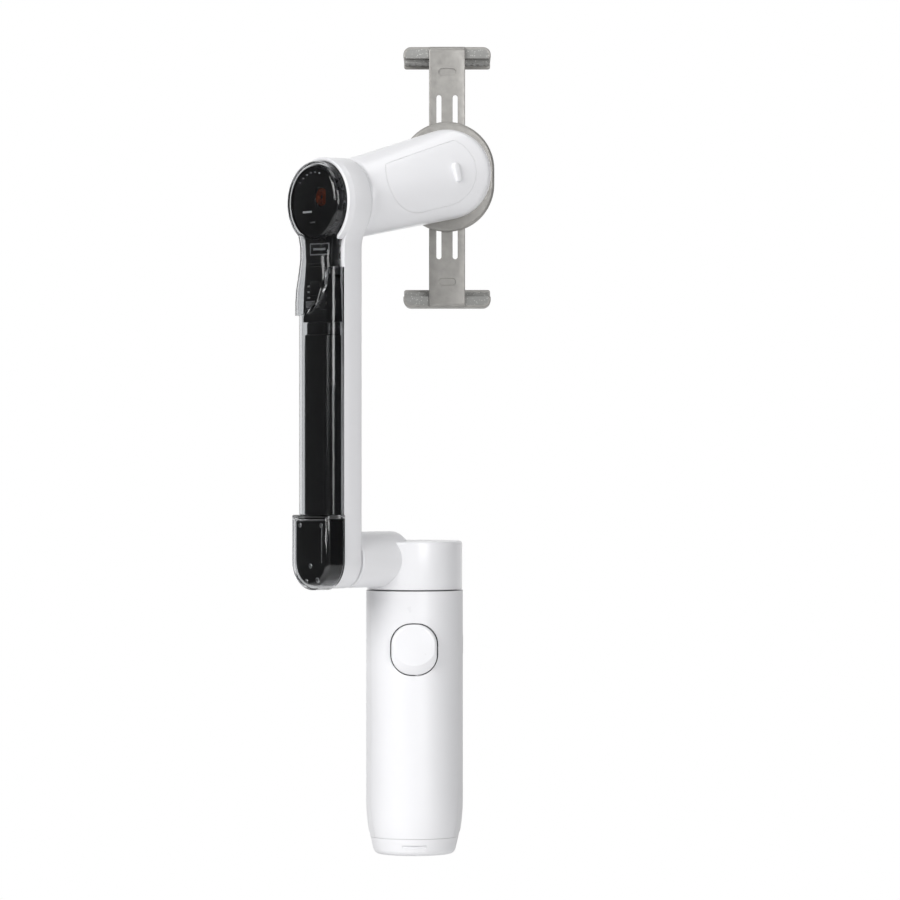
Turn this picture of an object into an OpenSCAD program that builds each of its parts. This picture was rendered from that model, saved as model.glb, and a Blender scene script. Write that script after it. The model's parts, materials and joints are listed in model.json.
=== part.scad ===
// Three-axis smartphone gimbal stabilizer: grip with a telescopic rod and fold-out
// legs, pan motor, folding arm with clear covers, roll arm, tilt motor and magnetic clamp.
// Frame: origin at the mouth of the tripod thread, +Z up, +X right, +Y towards the phone.

/* [Grip] */
// Radius of the grip's front half
grip_r = 16.2; // [16:0.1:17]
// How much deeper than wide the grip is
grip_deep = 3.6; // [3.4:0.1:4]
// Height of the grip, up to the rotating collar
grip_h = 88.2; // [88:0.1:89]
// Wall thickness of the grip shells
grip_wall = 1.8; // [1.6:0.1:2]
// Height at which the grip starts to taper towards its foot
taper_h = 18; // [16:0.5:20]

/* [Extension rod] */
// Length of each of the rod's four moving sections
rod_length = 71; // [66:0.5:72]
// Wall thickness of a rod section
rod_wall = 0.7; // [0.6:0.05:0.7]

/* [Arm] */
// Direction of the roll axis, from +X towards +Y, in degrees
arm_az = 40; // [38:1:42]
// Distance from the pan axis to the middle of the folding arm
arm_out = 36.75; // [36.45:0.05:37.05]
// Height of the fold hinge
fold_z = 98.8; // [98.6:0.1:99]
// Height of the roll axis
roll_z = 216.8; // [216:0.1:217.5]
// Width of the folding arm
arm_w = 18.8; // [18.6:0.1:19]
// Thickness of the folding arm's white shell
arm_shell_t = 8.1; // [8:0.1:8.2]
// Thickness of the clear cover on it
arm_clear_t = 6.1; // [6:0.1:6.2]

/* [Clamp] */
// Sideways place of the tilt axis
tilt_x = 10.9; // [10.5:0.1:11.2]
// Height of the tilt axis
tilt_z = 227.6; // [227:0.1:228]
// Width between the jaws
phone_w = 77.6; // [70:0.1:80]
// Thickest phone that the jaws hold
phone_t = 10; // [9:0.5:11]

/* [Hidden] */
$fn = 64;
fit = 0.03;
slack = 0.1;

// Grip
half_deep = grip_deep / 2;
seam_y = -7.3;
hub_h = 5.8;
floor_h = 13.4;
deck_h = 1.8;
foot_r = 2.4;
foot_flat = 11.7;
bulge_r = 60;
thread_r = 3.175;
thread_deep = 5;

// Legs, each in its own frame with +X pointing away from the grip
leg_w = 9;
leg_top = 50;
leg_back = 13.3;
pin_out = 13.2;
pin_z = 8.6;
pin_r = 1;
barrel_r = 2.3;
pocket_r = 3.8;
LEG_TURNS = [0, 180, 90];
LEG_PLACES = [[0, half_deep], [0, half_deep], [0, grip_deep]];

// Rod and cell
rod_y = -4.4;
guide_r = 6.8;
cell_r = 6.3;
cell_y = 9;
cell_h = 65;

// Controls
panel_face = 20.6;
panel_r = 14.6;
wheel_z = 65.4;
panel_top_z = 72;
wheel_r = 10.4;
record_r = 5;
stick_z = 80.4;
stick_pivot = 18.2;
mode_x = -8.8;
lights_x = 8.8;
power_z = 70;
port_z = 58;
trigger_z = 68.9;
trigger_w = 15.2;
trigger_h = 16.8;
trigger_corner = 6.8;
trigger_face = -17.2;

// Pan motor
collar_lo = 88.6;
collar_hi = 104.8;
collar_r = 16;
collar_in = 14.6;
boss_r = 9.3;
boss_end = -9.5;
base_lo = grip_h + 0.15;
base_hi = 90.6;

// Motor parts shared by the three motors, along the motor's own axis
shaft_r = 2;
post_in = 4;
post_r = 5.2;
stator_r = 10;
magnet_in = 10.5;
coil_n = 9;

// Folding arm, along the roll axis
arm_in = -(arm_out - (arm_shell_t + arm_clear_t) / 2);
arm_mid = arm_in - arm_shell_t;
arm_outer = arm_mid - arm_clear_t;
arm_half = arm_w / 2;
pin_fold_r = 3;
cup_top = 113.8;
edge_low = 179;
edge_high = 195.5;
core_top = 177;
head_r = 15;
window_r = 13.6;
head_cavity = 12.6;
rim_lift = 2.4;
cup_lift = 1.5;
head_lift = 0.6;
head_wall = 1.9;
core_half = 7.4;
clear_wall = 1.2;

// Roll arm and tilt motor
roll_seam = arm_in + 0.3;
roll_end_r = 13.2;
roll_lift = 2.2;
drum_r = 14.7;
drum_back = 8;
drum_front = -9.2;
cap_seat = [1.2, -19, 225.5];
cap_turn = 27.3;
cap_span = [9.6, 2.4];
cap_r = 11.6;
ridge_w = 2.5;
ridge_h = 6.8;
ridge_lean = 14.4;

// Clamp, around the tilt axis
disc_lo = drum_back + 0.3;
clamp_y = 10.8;
plate_half = 16;
plate_tall = 18.6;
strip_y = 12.7;
strip_t = 2.2;
strip_half = 6.1;
strip_in = 8;
channel_y = strip_y + strip_t + slack;
rest_y = 17.6;
jaw_half = 14.8;
jaw_t = 3.9;
pad_t = 1.5;
jaw_y = rest_y + phone_t;
jaw_lo = phone_w / 2 + pad_t;
jaw_top = jaw_lo + jaw_t;
slot_x = 2.75;
slot_half = 0.85;
slot_end = 27;
mark_z = 35.5;
bend_r = 1.6;

// ---------- shared shapes ----------

// A tube from z0 to z1 on the Z axis; a bore of 0 makes a rod.
module tube(r, bore, z0, z1) {
    translate([0, 0, z0]) difference() {
        cylinder(r = r, h = z1 - z0);
        if (bore > 0) translate([0, 0, -1]) cylinder(r = bore, h = z1 - z0 + 2);
    }
}

// A box from corner a to corner b.
module block(a, b) {
    translate(a) cube(b - a);
}

// A rectangle with round corners, centred, w wide and h tall.
module round_rect(w, h, r) {
    square([w - 2 * r, h], center = true);
    square([w, h - 2 * r], center = true);
    for (x = [-1, 1], y = [-1, 1])
        translate([x * (w / 2 - r), y * (h / 2 - r)]) circle(r);
}

// Lays a shape drawn on XY, with its Y as Z, into the plane y = 0, growing towards +Y.
module facing_y(y0, y1) {
    translate([0, y1, 0]) rotate([90, 0, 0]) linear_extrude(y1 - y0) children();
}

// Turns shapes on the Z axis onto the roll axis, growing along it.
module on_roll_axis(z) {
    rotate([0, 0, arm_az]) translate([0, 0, z]) rotate([0, 90, 0]) children();
}

// Turns shapes on the Z axis onto the tilt axis, growing towards +Y.
module on_tilt_axis() {
    translate([tilt_x, 0, tilt_z]) rotate([-90, 0, 0]) children();
}

// Half of the grip's upright outline, from the middle line outwards.
function side_line(inset) = concat(
    [[0, 0]],
    [for (a = [-90 : 12 : -18])
        [foot_flat + foot_r * cos(a) - inset, foot_r + foot_r * sin(a)]],
    [for (z = [foot_r + 0.6 : 1.5 : taper_h])
        [grip_r - bulge_r + sqrt(pow(bulge_r, 2) - pow(taper_h - z, 2)) - inset, z]],
    [[grip_r - inset, taper_h], [grip_r - inset, grip_h], [0, grip_h]]);

// The grip's solid: two turned halves and the straight stretch between them.
module grip_solid(inset = 0) {
    rotate_extrude() polygon(side_line(inset));
    translate([0, grip_deep, 0]) rotate_extrude() polygon(side_line(inset));
    facing_y(0, grip_deep) {
        polygon(side_line(inset));
        mirror([1, 0]) polygon(side_line(inset));
    }
}

// Places its children at leg i.
module at_leg(i) {
    translate([LEG_PLACES[i].x, LEG_PLACES[i].y, 0]) rotate([0, 0, LEG_TURNS[i]]) children();
}

// The wound core of a motor: a hub with teeth, from z0 to z1.
module stator(z0, z1) {
    tube(post_r + 1.6, post_r, z0, z1);
    for (i = [0 : coil_n - 1]) rotate([0, 0, i * 360 / coil_n]) {
        block([post_r + 1.4, -0.7, z0], [stator_r - 0.4, 0.7, z1]);
        block([stator_r - 1, -2, z0], [stator_r - 0.4, 2, z1]);
    }
}

// The windings: one hollow block round each tooth, clear of the hub and the tooth's head.
module coils(z0, z1) {
    for (i = [0 : coil_n - 1]) rotate([0, 0, i * 360 / coil_n]) difference() {
        block([post_r + 1.9, -1.6, z0 - 0.9], [stator_r - 1.2, 1.6, z1 + 0.9]);
        block([post_r, -0.75, z0 - 0.05], [stator_r, 0.75, z1 + 0.05]);
    }
}

// A ball bearing's two rings and shield as one solid.
module bearing(z0, z1) {
    difference() {
        tube(post_in, shaft_r, z0, z1);
        translate([0, 0, z0 - 0.1]) tube(3.3, 2.7, 0, 0.4);
        translate([0, 0, z1 - 0.3]) tube(3.3, 2.7, 0, 0.4);
    }
}

// ---------- grip ----------

module trigger_outline(grow = 0) {
    round_rect(trigger_w + 2 * grow, trigger_h + 2 * grow, trigger_corner + grow);
}

module handle_front_shell() color("white") difference() {
    intersection() {
        grip_solid();
        block([-20, -20, hub_h], [20, seam_y - 0.05, grip_h]);
    }
    grip_solid(grip_wall);
    translate([0, 0, trigger_z]) facing_y(-20, -10) trigger_outline(0.35);
}

// The leg's own space in the shell: a channel and a round pocket about the pin.
module leg_pocket() {
    side = leg_w / 2 + 0.25;
    block([leg_back - 0.3, -side, pin_z], [20, side, leg_top + 0.4]);
    translate([pin_out, side, pin_z]) rotate([90, 0, 0]) cylinder(r = pocket_r, h = 2 * side);
    block([pin_out, -side, 0], [20, side, pin_z]);
}

module panel_outline(grow = 0) {
    translate([0, wheel_z]) circle(panel_r + grow);
    translate([0, panel_top_z]) circle(panel_r + grow);
    translate([0, (wheel_z + panel_top_z) / 2])
        square([2 * (panel_r + grow), panel_top_z - wheel_z], center = true);
}

module handle_rear_shell() color("whitesmoke") difference() {
    union() {
        intersection() {
            grip_solid();
            block([-20, seam_y + 0.05, hub_h], [20, 40, grip_h]);
        }
        facing_y(8, panel_face) panel_outline();
    }
    intersection() {
        grip_solid(grip_wall);
        block([-11.4, -20, floor_h], [11.4, 15.8, grip_h + 1]);
    }
    intersection() {
        grip_solid(grip_wall);
        block([-20, -20, leg_top + 2.2], [20, 40, grip_h + 1]);
    }
    facing_y(6, 18.4) panel_outline(-2.2);
    translate([0, rod_y, 0]) tube(guide_r, 0, floor_h - 1, grip_h + 1);
    for (i = [0 : 2]) at_leg(i) {
        leg_pocket();
        translate([pin_out, leg_w / 2 + 2.1, pin_z]) rotate([90, 0, 0])
            cylinder(r = pin_r, h = leg_w + 4.2);
    }
    translate([0, 0, wheel_z]) facing_y(18, 30) circle(wheel_r + 0.2);
    translate([0, 0, stick_z]) facing_y(18, 30) circle(3.4);
    translate([mode_x, 0, stick_z]) facing_y(14, 30) circle(2.2);
    for (i = [-1.5 : 1.5]) translate([lights_x, 0, stick_z + 2.2 * i]) facing_y(14, 30) circle(0.6);
    translate([10, half_deep, power_z]) rotate([0, 90, 0]) cylinder(r = 3.2, h = 10);
    translate([10, half_deep, port_z]) rotate([0, 90, 0]) linear_extrude(10)
        round_rect(9.2, 3.4, 1.6);
}

module bottom_hub() color("white") difference() {
    intersection() {
        grip_solid();
        block([-20, -20, 0], [20, 40, hub_h - 0.05]);
    }
    translate([0, 0, -1]) cylinder(r = thread_r, h = thread_deep + 1);
    block([-4, -20, 2.6], [4, -13.6, 3.6]);
    for (i = [0 : 2]) at_leg(i) leg_notch();
}

// Room in the hub for a leg that is swung out past level.
module leg_notch() {
    side = leg_w / 2 + 0.25;
    block([9.2, -side, -1], [20, side, hub_h + 1]);
}

module leg_pins() color("silver") for (i = [0 : 2]) at_leg(i)
    translate([pin_out, leg_w / 2 + 2, pin_z]) rotate([90, 0, 0])
        cylinder(r = pin_r, h = leg_w + 4);

module leg(i) {
    difference() {
        union() {
            intersection() {
                grip_solid();
                at_leg(i) block([leg_back, -leg_w / 2, pin_z], [20, leg_w / 2, leg_top]);
            }
            intersection() {
                grip_solid();
                at_leg(i) translate([pin_out, leg_w / 2, pin_z]) rotate([90, 0, 0])
                    cylinder(r = barrel_r, h = leg_w);
            }
        }
        at_leg(i) {
            translate([pin_out, 8, pin_z]) rotate([90, 0, 0]) cylinder(r = pin_r + fit, h = 16);
            block([leg_back - 1, -2.6, pin_z + 6], [leg_back + 1.1, 2.6, leg_top - 4]);
        }
    }
}

module leg_right() color("gainsboro") leg(0);

module leg_left() color("gainsboro") leg(1);

module leg_rear() color("gainsboro") leg(2);

module deck_plate() color("whitesmoke") difference() {
    intersection() {
        grip_solid(grip_wall + 0.05);
        block([-20, -20, grip_h - deck_h], [20, 40, grip_h]);
    }
    translate([0, rod_y, 0]) tube(guide_r, 0, floor_h, grip_h + 1);
}

module rod_guide() color("dimgray") translate([0, rod_y, 0])
    tube(guide_r, guide_r - rod_wall, floor_h - 1, grip_h - 0.1);

module rod_section(n) {
    outer = guide_r - n * (rod_wall + slack);
    top = n < 4 ? grip_h - slack : base_lo;
    translate([0, rod_y, 0]) tube(outer, outer - rod_wall, base_lo - rod_length, top);
}

module rod_section_1() color("silver") rod_section(1);

module rod_section_2() color("silver") rod_section(2);

module rod_section_3() color("silver") rod_section(3);

module rod_section_4() color("silver") rod_section(4);

module battery_cell() color("steelblue") translate([0, cell_y, 0]) {
    tube(cell_r, 0, floor_h, floor_h + cell_h);
    tube(2.4, 0, floor_h + cell_h, floor_h + cell_h + 1);
}

module main_board() color("darkgreen") {
    block([-8.4, 15.9, 57], [8.4, 17, 81]);
    block([-4, 17, 57.6], [4, 17.8, 62]);
    block([-8, 17, 70], [-3, 17.8, 74]);
}

module charge_port() color("silver") translate([0, half_deep, port_z]) rotate([0, 90, 0])
    difference() {
        translate([0, 0, 11.6]) linear_extrude(4.1) round_rect(9, 3.2, 1.5);
        translate([0, 0, 12.4]) linear_extrude(4) round_rect(8.3, 2.5, 1.2);
    }

module trigger_switch() color("black") {
    block([6.3, -10.4, 66], [9.2, -7.6, 71.6]);
    translate([7.2, -9, trigger_z]) rotate([90, 0, 0]) cylinder(r = 0.9, h = 2.6);
}

module status_lights() color("lightgreen") for (i = [-1.5 : 1.5])
    translate([lights_x, 0, stick_z + 2.2 * i]) facing_y(17.6, panel_face + 0.05) circle(0.6);

module trigger() color("white") difference() {
    intersection() {
        translate([0, 0, trigger_z]) facing_y(trigger_face, -13.5) trigger_outline();
        translate([0, 0.3, 0]) cylinder(r = 17.4, h = 100, $fn = 96);
    }
    translate([0, trigger_face - 12.4, trigger_z - 9.5]) rotate([0, 90, 0])
        translate([0, 0, -10]) cylinder(r = 13, h = 20);
}

module control_wheel() color("gray") translate([0, 0, wheel_z]) {
    facing_y(18.9, panel_face + 0.9) difference() {
        circle(wheel_r);
        circle(record_r + 0.6);
    }
}

module record_button() color("white") translate([0, 0, wheel_z])
    facing_y(18.7, panel_face + 0.9) circle(record_r);

module mode_button() color("white") translate([mode_x, 0, stick_z])
    facing_y(18.6, panel_face + 0.8) circle(2);

module power_button() color("white") translate([0, half_deep, power_z]) rotate([0, 90, 0])
    translate([0, 0, 13.9]) cylinder(r = 3, h = 2.4);

module joystick_yoke() color("gray") translate([0, 0, stick_z])
    facing_y(stick_pivot - 0.4, stick_pivot + 0.4) difference() {
        circle(2.9);
        circle(1.5);
    }

module joystick_cap() color("dimgray") translate([0, 0, stick_z]) {
    translate([0, stick_pivot, 0]) sphere(r = 1.15);
    facing_y(stick_pivot, 23) circle(1.1);
    translate([0, 22.4, 0]) rotate([-90, 0, 0]) cylinder(r1 = 3.2, r2 = 3.9, h = 0.8);
    translate([0, 23.2, 0]) rotate([-90, 0, 0]) cylinder(r = 3.9, h = 0.8);
}

// ---------- pan motor and fold hinge ----------

module pan_base() color("whitesmoke") {
    tube(14.2, 0, base_lo, base_hi);
    tube(post_r, post_in, base_hi, 99);
}

module pan_stator() color("darkgray") stator(92.4, 96.4);

module pan_coils() color("peru") coils(92.4, 96.4);

module pan_bearing() color("lightgray") bearing(95.4, 98.6);

module pan_housing() color("white") difference() {
    union() {
        difference() {
            union() {
                rotate_extrude() {
                    translate([0, collar_lo]) square([collar_r, collar_hi - 1 - collar_lo]);
                    translate([0, collar_lo]) square([collar_r - 1, collar_hi - collar_lo]);
                    translate([collar_r - 1, collar_hi - 1]) circle(1);
                }
                on_roll_axis(fold_z) {
                    tube(boss_r, 0, roll_seam, boss_end);
                    translate([0, 0, boss_end]) cylinder(r1 = boss_r, r2 = 5.6, h = 6);
                }
            }
            tube(collar_in, 0, collar_lo - 3, collar_hi - 2.2);
        }
        tube(shaft_r - fit, 0, 92, collar_hi - 1);
    }
    on_roll_axis(fold_z) tube(pin_fold_r, 0, roll_seam - 1, -16.6);
}

module pan_rotor() color("slategray") tube(collar_in, magnet_in, 92, 98.4);

module fold_pin() color("silver") on_roll_axis(fold_z) tube(pin_fold_r, 0, arm_in - 6, -16.6);

// ---------- folding arm ----------

// Outline of the arm's blade seen along the roll axis: half width, ends round.
module blade_outline() {
    translate([0, fold_z]) circle(arm_half);
    translate([0, (fold_z + roll_z) / 2]) square([arm_w, roll_z - fold_z], true);
}

// Stands an outline drawn on XY up across the roll axis, between two places along it.
module across(x0, x1) {
    rotate([0, 0, arm_az]) translate([x0, 0, 0]) rotate([90, 0, 90])
        linear_extrude(x1 - x0) children();
}

module head_rim() difference() {
    on_roll_axis(roll_z) translate([0, 0, arm_mid - rim_lift])
        cylinder(r1 = head_r - 0.5, r2 = head_r, h = rim_lift + 0.2);
    across(arm_mid - rim_lift - 1, arm_mid) head_outline(0.05);
}

module arm_shell() color("white") difference() {
    union() {
        difference() {
            union() {
                across(arm_mid, arm_in) blade_outline();
                on_roll_axis(roll_z) {
                    tube(head_r, 0, arm_mid + 3, arm_in);
                    translate([0, 0, arm_mid - 1]) cylinder(r1 = window_r, r2 = head_r, h = 4);
                }
                head_rim();
            }
            on_roll_axis(roll_z) tube(head_cavity, 0, arm_mid - 3, arm_in - head_wall);
            across(arm_mid - 1, arm_mid + 4.4) {
                translate([0, 157]) square([13.2, 84], true);
                translate([0, 106]) square([10, 6], true);
            }
            across(arm_mid - 1, arm_mid + 1.2) translate([0, 202]) square([8, 10], true);
        }
        on_roll_axis(roll_z) tube(post_r, 0, arm_mid + 0.6, arm_in - head_wall + 0.5);
    }
    on_roll_axis(roll_z) tube(post_in, 0, arm_mid - 3, arm_in + 3);
    on_roll_axis(fold_z) tube(pin_fold_r + fit, 0, arm_in - 6.2, arm_in + 1);
}

// Cross-section of the tube-shaped cover, drawn with X along the roll axis.
module clear_section(x0, half, corner) intersection() {
    union() {
        translate([x0 + corner, -half + corner]) circle(corner);
        translate([x0 + corner, half - corner]) circle(corner);
        translate([x0, -half + corner]) square([10, 2 * (half - corner)]);
        translate([x0 + corner, -half]) square([10, 2 * half]);
    }
    translate([x0, -half]) square([arm_mid - x0, 2 * half]);
}

module arm_core() color("black") rotate([0, 0, arm_az]) {
    translate([0, 0, cup_top + 1]) linear_extrude(core_top - cup_top - 1)
        clear_section(arm_outer + clear_wall + 0.6, core_half, 3);
    block([arm_mid, -6, cup_top + 4], [arm_mid + 4, 6, 196]);
    block([arm_mid - 2, -4.6, 96], [arm_mid, 4.6, cup_top + 1]);
}

// Everything below the slanting edge where the tube's cover meets the head's cover.
module below_cover_edge(gap) across(arm_outer - 5, arm_mid + 1) polygon([
    [-20, edge_high - gap], [-7.7, edge_high - gap], [-6.2, 188.4 - gap], [-2.6, 182.8 - gap],
    [3, edge_low + 0.8 - gap], [20, edge_low - gap], [20, 90], [-20, 90]
]);

module clear_tube() color("lightblue", 0.4) intersection() {
    rotate([0, 0, arm_az]) translate([0, 0, cup_top]) linear_extrude(edge_high - cup_top) difference() {
        clear_section(arm_outer, arm_half, 4);
        clear_section(arm_outer + clear_wall, arm_half - clear_wall, 2.8);
        translate([arm_mid - 0.5, -arm_half + clear_wall]) square([1, 2 * (arm_half - clear_wall)]);
    }
    below_cover_edge(0.1);
}

module cup_outline(grow = 0) {
    translate([0, fold_z]) circle(arm_half + 0.4 + grow);
    translate([0, (fold_z + cup_top) / 2])
        square([2 * (arm_half + 0.4 + grow), cup_top - fold_z], true);
}

module clear_cup() color("lightblue", 0.4) difference() {
    across(arm_outer - cup_lift, arm_mid) cup_outline();
    across(arm_outer - cup_lift + clear_wall, arm_mid + 1) cup_outline(-clear_wall);
}

module head_outline(grow = 0) {
    translate([0, roll_z]) circle(window_r + grow);
    polygon([
        [-arm_half - grow, edge_low], [arm_half + grow, edge_low],
        [arm_half - 0.6 + grow, 190], [7.4 + grow, 199], [8.6 + grow, 207],
        [-8.6 - grow, 207], [-7.4 - grow, 199], [-arm_half + 0.3 - grow, edge_high]
    ]);
}

module clear_head() color("lightblue", 0.4) difference() {
    union() {
        across(arm_outer - head_lift, arm_mid) head_outline();
        on_roll_axis(roll_z) tube(window_r, 0, arm_outer - head_lift, arm_mid);
    }
    across(arm_outer - head_lift + clear_wall, arm_mid + 1) head_outline(-clear_wall);
    on_roll_axis(roll_z) {
        tube(head_cavity - 0.2, 0, arm_outer - head_lift + clear_wall, arm_mid + 1);
        translate([0, 0, arm_mid - 1.05]) cylinder(r1 = window_r + 0.02, r2 = head_r, h = 4);
    }
    below_cover_edge(0);
}

module arm_board() color("darkgreen") {
    across(arm_mid - 1.2, arm_mid) translate([0, 189.5]) square([11.6, 18.4], true);
    across(arm_mid - 1.9, arm_mid - 1.2) {
        translate([0, 191]) square([7, 4], true);
        translate([-3, 184]) square([2, 3], true);
        translate([3, 184]) square([2, 2], true);
    }
}

module cover_screws() color("silver") for (p = [[0, 93.6], [-6.6, 110.6], [6.6, 110.6]])
    on_roll_axis(0) translate([-p.y, p.x, 0]) difference() {
        tube(1.3, 0, arm_mid - 1.2, arm_mid);
        tube(0.6, 0, arm_mid - 2, arm_mid - 0.6);
    }

module roll_stator() color("darkgray") on_roll_axis(roll_z)
    stator(arm_in - head_wall - 5.4, arm_in - head_wall - 1.4);

module roll_coils() color("peru") on_roll_axis(roll_z)
    coils(arm_in - head_wall - 5.4, arm_in - head_wall - 1.4);

module roll_bearing() color("lightgray") on_roll_axis(roll_z)
    bearing(arm_mid + 0.8, arm_mid + 4);

// ---------- roll arm and tilt motor ----------

// The roll arm's outer form, from the roll seam to the tilt motor's drum.
module roll_arm_form() hull() {
    on_roll_axis(roll_z + roll_lift) {
        translate([0, 0, roll_seam]) cylinder(r = roll_end_r - 1.6, h = 1, $fn = 32);
        translate([0, 0, roll_seam + 2.4]) cylinder(r = roll_end_r, h = 3, $fn = 32);
    }
    on_tilt_axis() {
        translate([0, 0, drum_front]) cylinder(r = drum_r - 2.2, h = 1, $fn = 32);
        translate([0, 0, drum_front + 2]) cylinder(r = drum_r, h = drum_back - drum_front - 2, $fn = 32);
    }
}

// The front cap's outline as a prism that grows out of its seat in the roll arm.
module cap_prism(r) {
    translate(cap_seat) rotate([0, 0, cap_turn]) rotate([90, 0, 0]) linear_extrude(20) {
        circle(r);
        translate(cap_span) circle(r);
        rotate(atan2(cap_span.y, cap_span.x)) translate([0, -r]) square([norm(cap_span), 2 * r]);
    }
}

module roll_arm() color("white") difference() {
    union() {
        difference() {
            roll_arm_form();
            on_tilt_axis() tube(head_cavity + 0.1, 0, drum_front + head_wall, drum_back + 1);
            on_roll_axis(roll_z + roll_lift) tube(9.6, 0, roll_seam + 3, -14);
        }
        on_tilt_axis() tube(post_r, 0, drum_front + head_wall - 0.5, drum_back - 1.6);
    }
    on_tilt_axis() tube(post_in, 0, drum_front + head_wall, drum_back + 1);
    on_roll_axis(roll_z) tube(shaft_r + 2, 0, roll_seam - 1, roll_seam + 3.1);
    cap_prism(cap_r + 0.1);
}

module roll_rotor() color("slategray") on_roll_axis(roll_z) {
    tube(head_cavity - 0.4, magnet_in, arm_mid - 2, arm_in - head_wall - 0.6);
    tube(head_cavity - 0.4, 0, arm_mid - 2.9, arm_mid - 2);
    tube(shaft_r - fit, 0, arm_mid - 2, roll_seam + 2.8);
    tube(shaft_r + 2, 0, roll_seam + 0.2, roll_seam + 3);
}

module front_cap() color("white") {
    intersection() {
        roll_arm_form();
        cap_prism(cap_r);
    }
    translate(cap_seat) rotate([0, 0, cap_turn]) translate([cap_span.x + 2, 0, cap_span.y])
        rotate([0, -ridge_lean, 0]) translate([-ridge_w / 2, -2.1, -ridge_h / 2])
            cube([ridge_w, 1.5, ridge_h]);
}

module tilt_stator() color("darkgray") on_tilt_axis()
    stator(drum_front + head_wall + 2, drum_front + head_wall + 6);

module tilt_coils() color("peru") on_tilt_axis()
    coils(drum_front + head_wall + 2, drum_front + head_wall + 6);

module tilt_bearing() color("lightgray") on_tilt_axis() bearing(drum_back - 5.2, drum_back - 2);

module tilt_rotor() color("slategray") on_tilt_axis() {
    tube(head_cavity - 0.4, magnet_in, drum_front + head_wall + 1.4, disc_lo - 0.9);
    tube(head_cavity - 0.4, 0, disc_lo - 0.9, disc_lo);
    tube(shaft_r - fit, 0, drum_front + head_wall + 2, disc_lo - 0.9);
}

module mount_disc() color("silver") on_tilt_axis() difference() {
    tube(14.4, 0, disc_lo, clamp_y - 0.1);
    for (i = [0 : 5]) rotate([0, 0, 60 * i]) translate([9, 0, 0]) tube(2, 0, disc_lo + 0.8, clamp_y);
}

module mount_magnets() color("gray") on_tilt_axis() for (i = [0 : 5]) rotate([0, 0, 60 * i])
    translate([9, 0, 0]) tube(2, 0, disc_lo + 0.8, clamp_y - 0.1);

// ---------- phone clamp ----------

// The oval of the clamp's housing, w and h being its half sizes.
module oval(w, h) {
    for (s = [-1, 1]) translate([0, s * (h - w)]) circle(w);
    square([2 * w, 2 * (h - w)], center = true);
}

module clamp_housing() color("darkgray") translate([tilt_x, 0, tilt_z]) difference() {
    union() {
        facing_y(clamp_y, clamp_y + 0.8) oval(plate_half - 0.8, plate_tall - 0.8);
        facing_y(clamp_y + 0.8, channel_y) oval(plate_half, plate_tall);
    }
    block([-strip_half - slack, strip_y - slack, -30], [strip_half + slack, 40, 30]);
}

module clamp_plate() color("gray") translate([tilt_x, 0, tilt_z])
    facing_y(channel_y, channel_y + 1.4) oval(plate_half - 0.6, plate_tall - 0.6);

module clamp_pad() color("dimgray") translate([tilt_x, 0, tilt_z])
    facing_y(channel_y + 1.4, rest_y - 0.2) oval(plate_half - 1.8, plate_tall - 1.8);

// Places the upper jaw's parts for s = 1, or the lower's, turned over, for s = -1.
module at_jaw(s) {
    translate([tilt_x, 0, tilt_z]) rotate([0, s > 0 ? 0 : 180, 0]) children();
}

module strip_shape(s) {
    back = strip_y + strip_t;
    at_jaw(s) difference() {
        union() {
            block([-strip_half, strip_y, strip_in], [strip_half, back, jaw_top - bend_r]);
            block([-strip_half, strip_y + bend_r, jaw_top - bend_r], [strip_half, back + 5, jaw_top]);
            intersection() {
                translate([-strip_half, strip_y + bend_r, jaw_top - bend_r]) rotate([0, 90, 0])
                    cylinder(r = bend_r, h = 2 * strip_half);
                block([-strip_half, strip_y, jaw_top - bend_r], [strip_half, back, jaw_top]);
            }
        }
        for (x = [-slot_x, slot_x]) translate([x, 0, 0]) facing_y(strip_y - 1, back + 1) {
            translate([-slot_half, 14]) square([2 * slot_half, slot_end - 14]);
            translate([0, slot_end]) circle(slot_half);
        }
        translate([0, 0, mark_z]) facing_y(strip_y - 1, strip_y + 0.4) round_rect(5.8, 2.4, 1.1);
    }
}

module upper_strip() color("darkgray") strip_shape(1);

module lower_strip() color("darkgray") strip_shape(-1);

module jaw_shape(s) {
    side = strip_half + slack / 2;
    at_jaw(s) difference() {
        union() {
            facing_y(strip_y + 1.2, jaw_y + 1.8) {
                translate([-jaw_half, jaw_lo]) square([2 * jaw_half, 2]);
                translate([0, jaw_lo + jaw_t / 2]) round_rect(2 * jaw_half, jaw_t, 1.9);
            }
            block([-jaw_half, jaw_y + 0.3, jaw_lo - 2.6], [jaw_half, jaw_y + 1.8, jaw_lo + 1]);
        }
        block([-side, strip_y - 1, jaw_lo - 1], [side, strip_y + strip_t + 0.05, jaw_top + 1]);
        block([-side, strip_y - 1, jaw_top - bend_r - 0.05],
            [side, strip_y + strip_t + 5.05, jaw_top + 1]);
    }
}

module upper_jaw() color("gray") jaw_shape(1);

module lower_jaw() color("gray") jaw_shape(-1);

module pad_shape(s) {
    at_jaw(s) block([-jaw_half + 0.5, rest_y + 0.2, phone_w / 2],
        [jaw_half - 0.5, jaw_y + 0.3, jaw_lo]);
}

module upper_pad() color("dimgray") pad_shape(1);

module lower_pad() color("dimgray") pad_shape(-1);

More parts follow.
